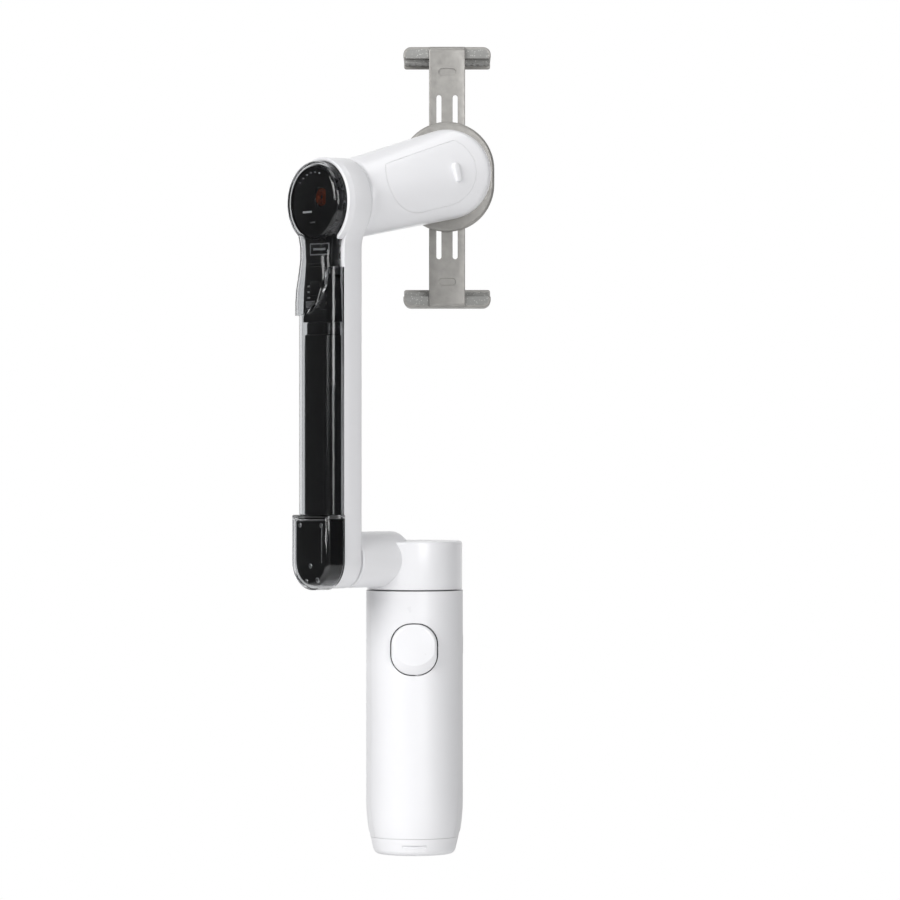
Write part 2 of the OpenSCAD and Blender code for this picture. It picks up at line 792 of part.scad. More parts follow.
handle_front_shell();
handle_rear_shell();
bottom_hub();
leg_pins();
deck_plate();
rod_guide();
battery_cell();
main_board();
charge_port();
trigger_switch();
status_lights();
leg_right();
leg_left();
leg_rear();
trigger();
control_wheel();
record_button();
mode_button();
power_button();
joystick_yoke();
joystick_cap();
rod_section_1();
rod_section_2();
rod_section_3();
rod_section_4();
pan_base();
pan_stator();
pan_coils();
pan_bearing();
pan_housing();
pan_rotor();
fold_pin();
arm_shell();
arm_core();
clear_tube();
clear_head();
clear_cup();
arm_board();
cover_screws();
roll_stator();
roll_coils();
roll_bearing();
roll_arm();
roll_rotor();
front_cap();
tilt_stator();
tilt_coils();
tilt_bearing();
mount_disc();
tilt_rotor();
mount_magnets();
clamp_housing();
clamp_plate();
clamp_pad();
upper_strip();
upper_jaw();
upper_pad();
lower_strip();
lower_jaw();
lower_pad();
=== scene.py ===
"""Looks of the folding phone gimbal: fine meshes for the pieces that show, and a procedural
material for every piece. Lengths in the mesh code are millimetres in the CAD's frame."""
import json
import math

import bmesh
import bpy
from mathutils import Matrix, Vector


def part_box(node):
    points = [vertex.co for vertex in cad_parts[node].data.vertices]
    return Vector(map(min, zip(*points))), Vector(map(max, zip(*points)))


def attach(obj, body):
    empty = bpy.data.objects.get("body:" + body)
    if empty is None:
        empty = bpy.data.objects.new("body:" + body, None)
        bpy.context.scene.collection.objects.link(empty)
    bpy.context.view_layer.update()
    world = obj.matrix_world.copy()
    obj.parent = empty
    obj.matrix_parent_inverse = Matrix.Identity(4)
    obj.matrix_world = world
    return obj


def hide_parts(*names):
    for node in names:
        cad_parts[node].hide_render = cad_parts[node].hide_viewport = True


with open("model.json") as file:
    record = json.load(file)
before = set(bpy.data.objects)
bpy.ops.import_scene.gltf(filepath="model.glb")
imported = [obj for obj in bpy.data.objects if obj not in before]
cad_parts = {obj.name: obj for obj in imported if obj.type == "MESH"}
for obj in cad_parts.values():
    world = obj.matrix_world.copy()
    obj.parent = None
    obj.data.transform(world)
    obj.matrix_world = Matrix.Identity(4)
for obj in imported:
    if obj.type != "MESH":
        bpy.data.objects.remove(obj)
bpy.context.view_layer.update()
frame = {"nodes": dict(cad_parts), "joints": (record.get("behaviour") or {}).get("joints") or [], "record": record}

MM = 0.001
TINY = 1e-9
NODES = frame["nodes"]
JOINTS = {joint["name"]: joint for joint in frame["joints"]}
BODIES = frame["record"]["behaviour"]["bodies"]
BODY_OF = {node: body for body, nodes in BODIES.items() for node in nodes}
# ALONG runs on the roll axis from the arm towards the phone; ACROSS is level, across the arm
ALONG = Vector(JOINTS["roll"]["axis"])
UP = Vector((0, 0, 1))
ACROSS = UP.cross(ALONG)
FOLD_Z = JOINTS["arm_fold"]["pos_m"][2] / MM
ROLL_Z = JOINTS["roll"]["pos_m"][2] / MM
TILT_X = JOINTS["tilt"]["pos_m"][0] / MM
TILT_Z = JOINTS["tilt"]["pos_m"][2] / MM


def low(node, axis):
    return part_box(node)[0][axis] / MM


def high(node, axis):
    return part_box(node)[1][axis] / MM


def along_range(node):
    """Where a node of the arm starts and ends along the roll axis, in millimetres."""
    places = [vertex.co.dot(ALONG) / MM for vertex in NODES[node].data.vertices]
    return min(places), max(places)


# ---------- material nodes ----------

class Shader:
    """A material's node tree, with short calls for the nodes that the materials here use."""

    def __init__(self, name):
        self.material = bpy.data.materials.new(name)
        self.material.use_nodes = True
        self.tree = self.material.node_tree
        self.surface = self.tree.nodes["Principled BSDF"]
        self.coordinates = self.add("ShaderNodeTexCoord").outputs["Object"]

    def add(self, kind, inputs=None, **settings):
        node = self.tree.nodes.new(kind)
        for key, value in settings.items():
            setattr(node, key, value)
        for key, value in (inputs or {}).items():
            self.put(node.inputs[key], value)
        return node

    def put(self, socket, value):
        if isinstance(value, bpy.types.NodeSocket):
            self.tree.links.new(value, socket)
        else:
            socket.default_value = value

    def set(self, **values):
        for key, value in values.items():
            self.put(self.surface.inputs[key.replace("_", " ")], value)

    def noise(self, scale, detail=2.0, stretch=None):
        place = self.coordinates
        if stretch:
            place = self.add("ShaderNodeMapping", {"Vector": place, "Scale": stretch}).outputs[0]
        node = self.add("ShaderNodeTexNoise", {"Vector": place, "Scale": scale, "Detail": detail})
        return node.outputs["Fac"]

    def ramp(self, value, low, high, start=0.35, end=0.65):
        node = self.add("ShaderNodeMapRange", {"Value": value, "From Min": start, "From Max": end,
                                               "To Min": low, "To Max": high})
        return node.outputs[0]

    def blend(self, value, first, second):
        node = self.add("ShaderNodeMix", {"Factor": value}, data_type="RGBA")
        self.put(node.inputs[6], (*first, 1))
        self.put(node.inputs[7], (*second, 1))
        return node.outputs[2]

    def bump(self, height, strength, distance, normal=None):
        node = self.add("ShaderNodeBump", {"Height": height, "Strength": strength,
                                           "Distance": distance})
        if normal:
            self.put(node.inputs["Normal"], normal)
        return node.outputs[0]

    def soft_edges(self, radius):
        return self.add("ShaderNodeBevel", {"Radius": radius}, samples=4).outputs[0]


def moulded(name, colour, roughness, grain=0.12, grain_scale=2600, coat=0.0, shift=0.012,
            edge=0.0003):
    """Injection-moulded plastic: a fine spark texture, slow colour drift and uneven gloss."""
    shader = Shader(name)
    tint = tuple(max(0.0, channel - shift) for channel in colour)
    drift = shader.ramp(shader.noise(40, 1), 0, 1, 0.1, 0.9)
    shader.set(Base_Color=shader.blend(drift, colour, tint))
    gloss = shader.ramp(shader.noise(160, 2), roughness - 0.04, roughness + 0.04, 0.1, 0.9)
    shader.set(Roughness=gloss)
    shader.set(Coat_Weight=coat, Coat_Roughness=0.12, IOR=1.48)
    edges = shader.soft_edges(edge) if edge else None
    shader.set(Normal=shader.bump(shader.noise(grain_scale, 2), grain, 0.00004, edges))
    return shader.material


def metal(name, colour, roughness, brush=(1, 1, 40), scale=500, strength=0.1, edge=0.00015):
    """Machined or drawn metal: streaks along one direction in gloss and height."""
    shader = Shader(name)
    streaks = shader.noise(scale, 3, brush)
    dark = tuple(channel * 0.86 for channel in colour)
    shader.set(Base_Color=shader.blend(shader.ramp(streaks, 0, 1), colour, dark), Metallic=1.0)
    shader.set(Roughness=shader.ramp(streaks, roughness - 0.06, roughness + 0.08))
    shader.set(Normal=shader.bump(streaks, strength, 0.00003, shader.soft_edges(edge)))
    return shader.material


def powder_coat(name, colour, dark):
    """Grey powder-coated metal: small soft pits and a slight mottle."""
    shader = Shader(name)
    mottle = shader.ramp(shader.noise(420, 5), 0, 1, 0.3, 0.7)
    shader.set(Base_Color=shader.blend(mottle, colour, dark), Metallic=0.35)
    shader.set(Roughness=shader.ramp(shader.noise(900, 3), 0.36, 0.5))
    grain = shader.noise(2200, 3)
    shader.set(Normal=shader.bump(grain, 0.22, 0.00005, shader.soft_edges(0.00025)))
    return shader.material


def speckled_rubber(name):
    """Silicone with light specks, as the jaws' pads have."""
    shader = Shader(name)
    specks = shader.add("ShaderNodeTexVoronoi", {"Vector": shader.coordinates, "Scale": 1500})
    dots = shader.ramp(specks.outputs["Distance"], 1, 0, 0.12, 0.3)
    shader.set(Base_Color=shader.blend(dots, (0.30, 0.30, 0.29), (0.66, 0.66, 0.64)))
    shader.set(Roughness=shader.ramp(shader.noise(700, 2), 0.62, 0.8))
    shader.set(Normal=shader.bump(shader.noise(1400, 3), 0.4, 0.00008))
    return shader.material


def clear_plastic(name, tint=(0.74, 0.75, 0.76)):
    """Polished clear polycarbonate, with the faint waviness of a moulded cover."""
    shader = Shader(name)
    drift = shader.ramp(shader.noise(60, 2), 0, 1)
    softer = tuple(channel * 0.97 for channel in tint)
    shader.set(Base_Color=shader.blend(drift, tint, softer), Transmission_Weight=1.0, IOR=1.42)
    shader.set(Roughness=shader.ramp(shader.noise(300, 2), 0.01, 0.05))
    shader.set(Normal=shader.bump(shader.noise(90, 2), 0.04, 0.0004))
    return shader.material


def circuit_board(name):
    """Dark solder mask over faint copper runs."""
    shader = Shader(name)
    cells = shader.add("ShaderNodeTexBrick", {"Vector": shader.coordinates, "Scale": 420.0,
                                              "Mortar Size": 0.06})
    cells.inputs["Color1"].default_value = (0.008, 0.012, 0.011, 1)
    cells.inputs["Color2"].default_value = (0.010, 0.014, 0.013, 1)
    cells.inputs["Mortar"].default_value = (0.03, 0.038, 0.034, 1)
    shader.set(Base_Color=cells.outputs["Color"])
    shader.set(Roughness=shader.ramp(shader.noise(600, 2), 0.28, 0.42))
    shader.set(Normal=shader.bump(cells.outputs["Fac"], 0.3, 0.00005))
    return shader.material


def copper_wire(name):
    """Close turns of enamelled wire."""
    shader = Shader(name)
    turns = shader.add("ShaderNodeTexWave", {"Vector": shader.coordinates, "Scale": 1300.0,
                                             "Distortion": 1.2, "Detail": 2.0},
                       bands_direction="DIAGONAL")
    line = turns.outputs["Fac"]
    shader.set(Base_Color=shader.blend(line, (0.16, 0.03, 0.015), (0.40, 0.10, 0.04)),
               Metallic=0.85)
    shader.set(Roughness=shader.ramp(line, 0.4, 0.25, 0, 1))
    shader.set(Normal=shader.bump(line, 0.6, 0.0001))
    return shader.material


MATERIALS = {
    "white_shell": moulded("white_shell", (0.87, 0.87, 0.89), 0.3, coat=0.2),
    "rear_shell": moulded("rear_shell", (0.83, 0.83, 0.845), 0.55, grain=0.3, grain_scale=1500),
    "steel": metal("steel", (0.62, 0.62, 0.63), 0.28),
    "rod_metal": metal("rod_metal", (0.72, 0.72, 0.74), 0.3, brush=(1, 1, 0.04), scale=1600),
    "cell_wrap": moulded("cell_wrap", (0.07, 0.2, 0.42), 0.3, coat=0.4),
    "circuit_board": circuit_board("circuit_board"),
    "black_plastic": moulded("black_plastic", (0.008, 0.008, 0.009), 0.3, shift=0.003),
    "light_pipe": moulded("light_pipe", (0.5, 0.85, 0.55), 0.2, grain=0.05, coat=0.3),
    "grey_plastic": moulded("grey_plastic", (0.34, 0.34, 0.35), 0.42),
    "motor_steel": metal("motor_steel", (0.07, 0.07, 0.075), 0.3, brush=(1, 1, 1), scale=900),
    "copper_wire": copper_wire("copper_wire"),
    "clear_cover": clear_plastic("clear_cover"),
    "magnet": metal("magnet", (0.74, 0.74, 0.75), 0.16, strength=0.04),
    "clamp_metal": powder_coat("clamp_metal", (0.40, 0.39, 0.37), (0.34, 0.33, 0.315)),
    "pad_rubber": speckled_rubber("pad_rubber"),
}
SLOT_OF = {part["node"]: part["material_slot"] for part in frame["record"]["subparts"]}


def paint_frame():
    for name, node in NODES.items():
        for slot in node.material_slots:
            slot.material = MATERIALS[SLOT_OF[name]]


paint_frame()


# ---------- mesh code ----------

def frame_matrix(x_axis, y_axis, z_axis, place=(0, 0, 0)):
    """A matrix that takes local millimetres to metres in the frame."""
    columns = Matrix((x_axis, y_axis, z_axis)).transposed().to_4x4()
    return Matrix.Translation(Vector(place) * MM) @ columns @ Matrix.Diagonal((MM, MM, MM, 1))


def on_roll_axis(z=0.0):
    """Local X runs across the arm, local Y is up, and local Z runs along the roll axis."""
    return frame_matrix(ACROSS, UP, ALONG, (0, 0, z))


def facing_back(x=0.0, z=0.0):
    """Local X is the frame's X, local Y is up, and local Z points to the viewer, along -Y."""
    return frame_matrix(Vector((1, 0, 0)), UP, Vector((0, -1, 0)), (x, 0, z))


def facing_phone(x=0.0, z=0.0):
    """Local X is the frame's X, local Y is down, and local Z points along +Y."""
    return frame_matrix(Vector((1, 0, 0)), -UP, Vector((0, 1, 0)), (x, 0, z))


def new_object(name, vertices, faces, matrix=None):
    mesh = bpy.data.meshes.new(name)
    mesh.from_pydata([tuple(vertex) for vertex in vertices], [], faces)
    if matrix:
        mesh.transform(matrix)
    tidy = bmesh.new()
    tidy.from_mesh(mesh)
    bmesh.ops.remove_doubles(tidy, verts=tidy.verts, dist=1e-7)
    bmesh.ops.recalc_face_normals(tidy, faces=tidy.faces)
    tidy.to_mesh(mesh)
    tidy.free()
    thing = bpy.data.objects.new(name, mesh)
    bpy.context.scene.collection.objects.link(thing)
    return thing


def loft(name, rings, matrix=None):
    """A closed solid through rings of equally many points, with flat ends."""
    count = len(rings[0])
    vertices = [point for ring in rings for point in ring]
    faces = []
    for level in range(len(rings) - 1):
        for i in range(count):
            j = (i + 1) % count
            start = level * count
            faces.append((start + i, start + j, start + count + j, start + count + i))
    last = (len(rings) - 1) * count
    faces.append(tuple(range(count))[::-1])
    faces.append(tuple(range(last, last + count)))
    return new_object(name, vertices, faces, matrix)


def circle(radius, centre=(0, 0), count=72, start=0.0, end=360.0):
    """Points on an arc; a full circle leaves out the repeated last point."""
    whole = abs(end - start) >= 360
    steps = count if whole else count + 1
    turns = [math.radians(start + (end - start) * i / count) for i in range(steps)]
    return [(centre[0] + radius * math.cos(a), centre[1] + radius * math.sin(a)) for a in turns]


def round_corners(points, radius, steps=6):
    """A polygon's outline with each corner turned into an arc that touches both sides."""
    outline = []
    for i, corner in enumerate(points):
        here = Vector(corner[:2])
        size = corner[2] if len(corner) > 2 else radius
        before = (Vector(points[i - 1][:2]) - here).normalized()
        after = (Vector(points[(i + 1) % len(points)][:2]) - here).normalized()
        half = before.angle(after) / 2
        if size <= 0 or half > 1.55:
            outline.append(tuple(here))
            continue
        middle = here + (before + after).normalized() * size / math.sin(half)
        first = here + before * size / math.tan(half) - middle
        sweep = first.angle_signed(here + after * size / math.tan(half) - middle)
        for step in range(steps + 1):
            outline.append(tuple(middle + Matrix.Rotation(-sweep * step / steps, 2) @ first))
    return outline


def rectangle(width, height, radius, steps=6):
    x, y = width / 2, height / 2
    return round_corners([(-x, -y), (x, -y), (x, y), (-x, y)], radius, steps)


def capsule(start, end, radius, steps=24):
    """Outline round two equal circles."""
    run = Vector(end) - Vector(start)
    heading = math.degrees(math.atan2(run.y, run.x))
    return (circle(radius, end, steps, heading - 90, heading + 90)
            + circle(radius, start, steps, heading + 90, heading + 270))


def shifted(outline, x, y):
    return [(px + x, py + y) for px, py in outline]


def inset(outline, distance):
    """The outline moved inwards; it runs anticlockwise."""
    if abs(distance) < TINY:
        return list(outline)
    moved = []
    for i, point in enumerate(outline):
        here = Vector(point)
        before = here - Vector(outline[i - 1])
        after = Vector(outline[(i + 1) % len(outline)]) - here
        before = before.normalized() if before.length > TINY else after.normalized()
        after = after.normalized() if after.length > TINY else before
        tangent = (before + after).normalized()
        stretch = 1 / max(0.5, tangent.dot(after))
        moved.append(tuple(here + Vector((-tangent.y, tangent.x)) * distance * stretch))
    return moved


def slab(name, outline, bottom, top, matrix, bottom_round=0.0, top_round=0.0, steps=5):
    """The outline, extruded along local Z, with its two rims rounded."""
    rings = []
    for i in range(steps + 1 if bottom_round else 1):
        turn = math.pi / 2 * i / steps
        ring = inset(outline, bottom_round * (1 - math.sin(turn)))
        rings.append([(x, y, bottom + bottom_round * (1 - math.cos(turn))) for x, y in ring])
    for i in range(steps + 1 if top_round else 1):
        turn = math.pi / 2 * i / steps
        ring = inset(outline, top_round * (1 - math.cos(turn)))
        rings.append([(x, y, top - top_round * (1 - math.sin(turn))) for x, y in ring])
    return loft(name, rings, matrix)


def lathe(name, profile, matrix, count=96):
    """A solid of revolution about local Z; the profile runs from the axis out and back."""
    turns = [2 * math.pi * i / count for i in range(count)]
    rings = [[(radius * math.cos(turn), radius * math.sin(turn), z) for turn in turns]
             for radius, z in profile]
    return loft(name, rings, matrix)


def ring_solid(name, outer, inner, bottom, top, matrix, rim=0.3, count=96):
    """A ring with rounded rims."""
    section = round_corners([(inner, bottom), (outer, bottom), (outer, top), (inner, top)], rim, 3)
    vertices, faces = [], []
    for i in range(count):
        turn = 2 * math.pi * i / count
        vertices += [(r * math.cos(turn), r * math.sin(turn), z) for r, z in section]
    size = len(section)
    for i in range(count):
        a, b = i * size, (i + 1) % count * size
        for k in range(size):
            n = (k + 1) % size
            faces.append((a + k, a + n, b + n, b + k))
    return new_object(name, vertices, faces, matrix)


def applied(thing):
    """Replaces the object's mesh by what its modifiers make of it."""
    seen = thing.evaluated_get(bpy.context.evaluated_depsgraph_get())
    mesh = bpy.data.meshes.new_from_object(seen)
    thing.modifiers.clear()
    old = thing.data
    thing.data = mesh
    bpy.data.meshes.remove(old)
    return thing


def combine(thing, others, operation):
    """Adds, cuts or intersects solids, one after another."""
    for other in others:
        modifier = thing.modifiers.new("solid", "BOOLEAN")
        modifier.operation = operation
        modifier.solver = "EXACT"
        modifier.object = other
        applied(thing)
        bpy.data.objects.remove(other)
    return thing


def cut(thing, *others):
    return combine(thing, others, "DIFFERENCE")


def join(thing, *others):
    return combine(thing, others, "UNION")


def finish_piece(thing, slot, body=None, node=None, sharp=32):
    """Gives a piece its material, its smooth shading and the body that it rides on."""
    mesh = thing.data
    mesh.validate()
    mesh.materials.clear()
    mesh.materials.append(MATERIALS[slot])
    for face in mesh.polygons:
        face.use_smooth = True
        face.material_index = 0
    mesh.set_sharp_from_angle(angle=math.radians(sharp))
    if node:
        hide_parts(node)
    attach(thing, body or BODY_OF[node])
    return thing


# ---------- folding arm ----------

# Places along the roll axis: the shell's two faces, and the outer faces of the clear covers
ARM_IN = along_range("arm_shell")[1]
ARM_MID = along_range("clear_head")[1]
TUBE_OUT = along_range("clear_tube")[0]
CUP_OUT = along_range("clear_cup")[0]
HEAD_OUT = along_range("clear_head")[0]
BOARD_FACE = ARM_MID - 3.2
ROLL_SEAM = ARM_IN + 0.3
# Half width of the arm, and radii round the roll motor
ARM_HALF = 9.4
HEAD_R = 15.0
WINDOW_R = 13.6
CAVITY_R = 12.6
HEAD_WALL = 1.9
CLEAR_WALL = 1.2
# Heights of the covers' seams, and the narrowest place of the head's cover
CUP_TOP = high("clear_cup", 2)
EDGE_LOW = 179.0
EDGE_HIGH = 195.5
WAIST_Z = 206.3
WAIST_HALF = 8.6
# Half width and top of the black core, and its steps towards the head
CORE_HALF = 7.4
CORE_TOP = 173.4
NECK_TOP = 177.4


def arm_outline():
    """Seen along the roll axis: a round foot at the fold hinge, a blade, and a round head."""
    blend = 8.0
    drop = math.sqrt((HEAD_R + blend) ** 2 - (ARM_HALF + blend) ** 2)
    lean = math.degrees(math.atan2(drop, ARM_HALF + blend))
    right = circle(blend, (ARM_HALF + blend, ROLL_Z - drop), 8, 180, 180 - lean)
    head = circle(HEAD_R, (0, ROLL_Z), 60, -lean, 180 + lean)
    left = circle(blend, (-ARM_HALF - blend, ROLL_Z - drop), 8, lean, 0)
    foot = circle(ARM_HALF, (0, FOLD_Z), 32, 180, 360)
    return right + head[1:-1] + left + foot


def arm_shell():
    axis = on_roll_axis()
    shell = slab("arm_shell.body", arm_outline(), ARM_MID, ARM_IN, axis, 0.25, 1.4)
    at_motor = on_roll_axis(ROLL_Z)
    collar = lathe("collar", [(WINDOW_R - 0.2, ARM_MID - 1), (WINDOW_R, ARM_MID - 0.8),
                              (HEAD_R - 0.15, ARM_MID + 2.6), (HEAD_R - 0.05, ARM_MID + 3.4),
                              (HEAD_R - 0.05, ARM_MID + 4)], at_motor)
    cavity = lathe("cavity", [(CAVITY_R, ARM_MID - 3), (CAVITY_R, ARM_IN - HEAD_WALL)], at_motor)
    tray = slab("tray", rectangle(13.2, 84, 1.0), ARM_MID - 1, ARM_MID + 4.4, on_roll_axis(157))
    cut(join(shell, collar), cavity, tray)
    rim = ring_solid("rim", HEAD_R - 0.03, WINDOW_R + 0.06, ARM_MID - 2.4, ARM_MID + 1, at_motor,
                     0.5)
    cut(rim, slab("neck", inset(head_outline(), -0.06), ARM_MID - 4, ARM_MID, axis))
    join(shell, rim)
    finish_piece(shell, "white_shell", node="arm_shell")
    lining = ring_solid("arm_shell.rim", CAVITY_R - 0.02, CAVITY_R - 0.28, ARM_MID - 1.0,
                        ARM_MID + 0.6, at_motor, 0.1)
    finish_piece(lining, "black_plastic", body=BODY_OF["arm_shell"])


def cover_edge(gap):
    """The slanting line where the head's cover overlaps the tube's, as a region above it."""
    line = [(-20, EDGE_HIGH - gap), (-7.7, EDGE_HIGH - gap, 0.8), (-6.2, 188.4 - gap, 9),
            (-2.6, 182.8 - gap, 8), (3, EDGE_LOW + 0.8 - gap, 9), (20, EDGE_LOW - gap)]
    return round_corners(line + [(20, 260), (-20, 260)], 0, 8)


def head_outline():
    """The head's cover seen along the roll axis: its skirt, its waist and its round window."""
    start = math.degrees(math.atan2(WAIST_Z - ROLL_Z, WAIST_HALF))
    window = circle(WINDOW_R, (0, ROLL_Z), 64, start, 180 - start)
    outline = [(-ARM_HALF, 176), (ARM_HALF, 176), (ARM_HALF - 0.1, 187, 14), (7.9, 197, 14)]
    outline += [(x, z, 0) for x, z in window]
    outline += [(-7.9, 197, 14), (-ARM_HALF + 0.1, 187, 14)]
    return round_corners(outline, 0, 8)


def tube_section(out, half, corner):
    """Level section of the tube-shaped cover, with X across the arm and Y along the roll axis."""
    points = [(-half, ARM_MID, 0), (-half, out, corner), (half, out, corner), (half, ARM_MID, 0)]
    return round_corners(points, corner, 10)


def upright(bottom=0.0):
    """Local X across the arm, local Y along the roll axis, local Z up."""
    return frame_matrix(ACROSS, ALONG, UP, (0, 0, bottom))


# Level sections of the cover's neck and skirt: height, half width and outward lift
NECK = [(178, 9.4, 0.65), (184, 9.4, 0.65), (188, 9.15, 0.5), (193, 8.3, 0.2), (198, 7.55, 0),
        (202, 7.6, 0), (206, 8.6, 0)]


def neck_form(name, wall, stretch):
    """The neck and skirt lofted through their sections, less a wall and stretched at the foot."""
    rings = []
    for z, half, lift in NECK:
        level = z - stretch if z < 180 else z
        section = tube_section(HEAD_OUT - lift + wall, half - wall, 3.2 - wall)
        rings.append([(x, y, level) for x, y in section])
    return loft(name, rings, upright())


def clear_head():
    axis = on_roll_axis()
    at_motor = on_roll_axis(ROLL_Z)
    cover = neck_form("clear_head.shell", 0, 0)
    dome = slab("dome", circle(WINDOW_R - 0.02, count=96), HEAD_OUT - 0.03, ARM_MID - 1.05,
                at_motor, 2.0, 0, 7)
    join(cover, dome)
    bowl = slab("bowl", circle(WINDOW_R - CLEAR_WALL, count=96), HEAD_OUT + CLEAR_WALL,
                ARM_MID + 1, at_motor, 1.3, 0, 6)
    cut(cover, neck_form("hollow", CLEAR_WALL, 3), bowl)
    keep = slab("keep", cover_edge(0), TUBE_OUT - 4, ARM_MID + 2, axis)
    combine(cover, [keep], "INTERSECT")
    finish_piece(cover, "clear_cover", node="clear_head")


def clear_tube():
    section = tube_section(TUBE_OUT, ARM_HALF, 4.0)
    inner = tube_section(TUBE_OUT + CLEAR_WALL, ARM_HALF - CLEAR_WALL, 2.9)
    inner = [(x, y + 0.5 if y > ARM_MID - 0.01 else y) for x, y in inner]
    tube = slab("clear_tube.shell", section, CUP_TOP + 0.02, EDGE_HIGH, upright(), 0.25, 0)
    hollow = slab("hollow", inner, CUP_TOP - 1, EDGE_HIGH + 1, upright())
    above = slab("above", cover_edge(0.1), TUBE_OUT - 3, ARM_MID + 2, on_roll_axis())
    cut(tube, hollow, above)
    finish_piece(tube, "clear_cover", node="clear_tube")


def cup_outline(half, top, count=40):
    """Seen along the roll axis: square at the top and round about the fold hinge."""
    return circle(half, (0, FOLD_Z), count, 180, 360) + [(half, top), (-half, top)]


def clear_cup():
    axis = on_roll_axis()
    half = ARM_HALF + 0.4
    cup = slab("clear_cup.shell", cup_outline(half, CUP_TOP), CUP_OUT, ARM_MID - 0.01, axis,
               1.8, 0, 7)
    inner = cup_outline(half - CLEAR_WALL, CUP_TOP - CLEAR_WALL)
    cut(cup, slab("hollow", inner, CUP_OUT + CLEAR_WALL, ARM_MID + 1, axis, 1.2, 0, 6))
    finish_piece(cup, "clear_cover", node="clear_cup")


def arm_core():
    """The black core that shows through the covers, its stepped top, and what is at its ends."""
    body = BODY_OF["arm_core"]
    axis = on_roll_axis()
    out = TUBE_OUT + CLEAR_WALL + 0.6
    core = slab("arm_core.body", tube_section(out, CORE_HALF, 3.0), CUP_TOP + 0.1, CORE_TOP,
                upright(), 0.3, 0.8)
    finish_piece(core, "black_plastic", node="arm_core")
    neck = slab("arm_core.neck", tube_section(out + 0.8, CORE_HALF - 0.5, 2.6), CORE_TOP - 0.9,
                NECK_TOP, upright(), 0, 0.7)
    finish_piece(neck, "black_plastic", body=body)
    back = slab("arm_core.back", rectangle(12.6, 80.6, 0.6), ARM_MID - 0.1, ARM_MID + 4,
                on_roll_axis(155.9))
    finish_piece(back, "black_plastic", body=body)
    edge = shifted(rectangle(0.35, 13, 0.15, 2), -5.9, 0)
    rail = slab("arm_core.rail", edge, CUP_OUT + 1.4, CUP_OUT + 1.9, on_roll_axis(104.5), 0.1, 0, 2)
    finish_piece(rail, "steel", body=body)
    side = [(8.0, NECK_TOP), (7.4, 188), (6.3, 197), (6.7, 204), (7.4, 208)]
    behind = side + [(-x, z) for x, z in reversed(side)]
    liner = slab("arm_core.liner", behind, BOARD_FACE + 0.05, ARM_MID - 0.05, axis, 0.3, 0)
    finish_piece(liner, "black_plastic", body=body)
    well = slab("arm_core.well", cup_outline(8.4, CUP_TOP - 1.4, 32), CUP_OUT + 1.5,
                ARM_MID - 0.05, axis, 1.2, 0)
    finish_piece(well, "black_plastic", body=body)
    face = CUP_OUT + 1.35
    screw = [(0.3, face + 0.05), (0.7, face), (0.85, face + 0.1), (0.85, face + 0.5),
             (0.01, face + 0.5)]
    places = [(-5.6, 110.4), (5.6, 110.4), (-3.6, 92.6), (2.2, 91.9), (0.0, 97.0)]
    for i, (across, height) in enumerate(places):
        at = on_roll_axis(height) @ Matrix.Translation(Vector((across, 0, 0)))
        finish_piece(lathe(f"arm_core.screw_{i}", screw, at, 24), "steel", body=body)


def small_block(name, place, size, slot, body, corner=0.15, out=ARM_MID):
    """A small part whose back is at out: place is (across, height), size (width, height, depth)."""
    width, height, depth = size
    outline = shifted(rectangle(width, height, corner, 3), place[0], 0)
    block = slab(name, outline, out - depth, out, on_roll_axis(place[1]), min(0.12, depth / 3),
                 0, 2)
    return finish_piece(block, slot, body=body)


def arm_electronics():
    """Parts that show through the neck's cover: chips, capacitors, a socket and a plain label."""
    body = BODY_OF["arm_board"]
    parts = [("chip", (0.4, 188.4), (5.2, 4.6, 0.8), "black_plastic"),
             ("regulator", (-3.2, 182.8), (2.4, 2.8, 0.7), "black_plastic"),
             ("socket", (1.8, 183.2), (5.6, 2.2, 1.3), "steel"),
             ("label", (-0.9, 201.4), (9.4, 4.0, 0.15), "grey_plastic"),
             ("label_face", (-0.9, 201.4), (8.6, 3.2, 0.2), "black_plastic"),
             ("label_line", (-0.9, 201.4), (5.8, 0.8, 0.25), "grey_plastic"),
             ("connector", (0, 196.2), (7.4, 1.2, 0.9), "black_plastic")]
    for name, place, size, slot in parts:
        small_block("arm_board." + name, place, size, slot, body, out=BOARD_FACE)
    for i in range(5):
        small_block(f"arm_board.capacitor_{i}", (4.3, 181.6 + 1.9 * i), (1.0, 0.6, 0.5), "steel",
                    body, 0.1, BOARD_FACE)
        small_block(f"arm_board.resistor_{i}", (-4.6, 186.6 + 1.5 * i), (0.8, 0.5, 0.4),
                    "black_plastic", body, 0.08, BOARD_FACE)


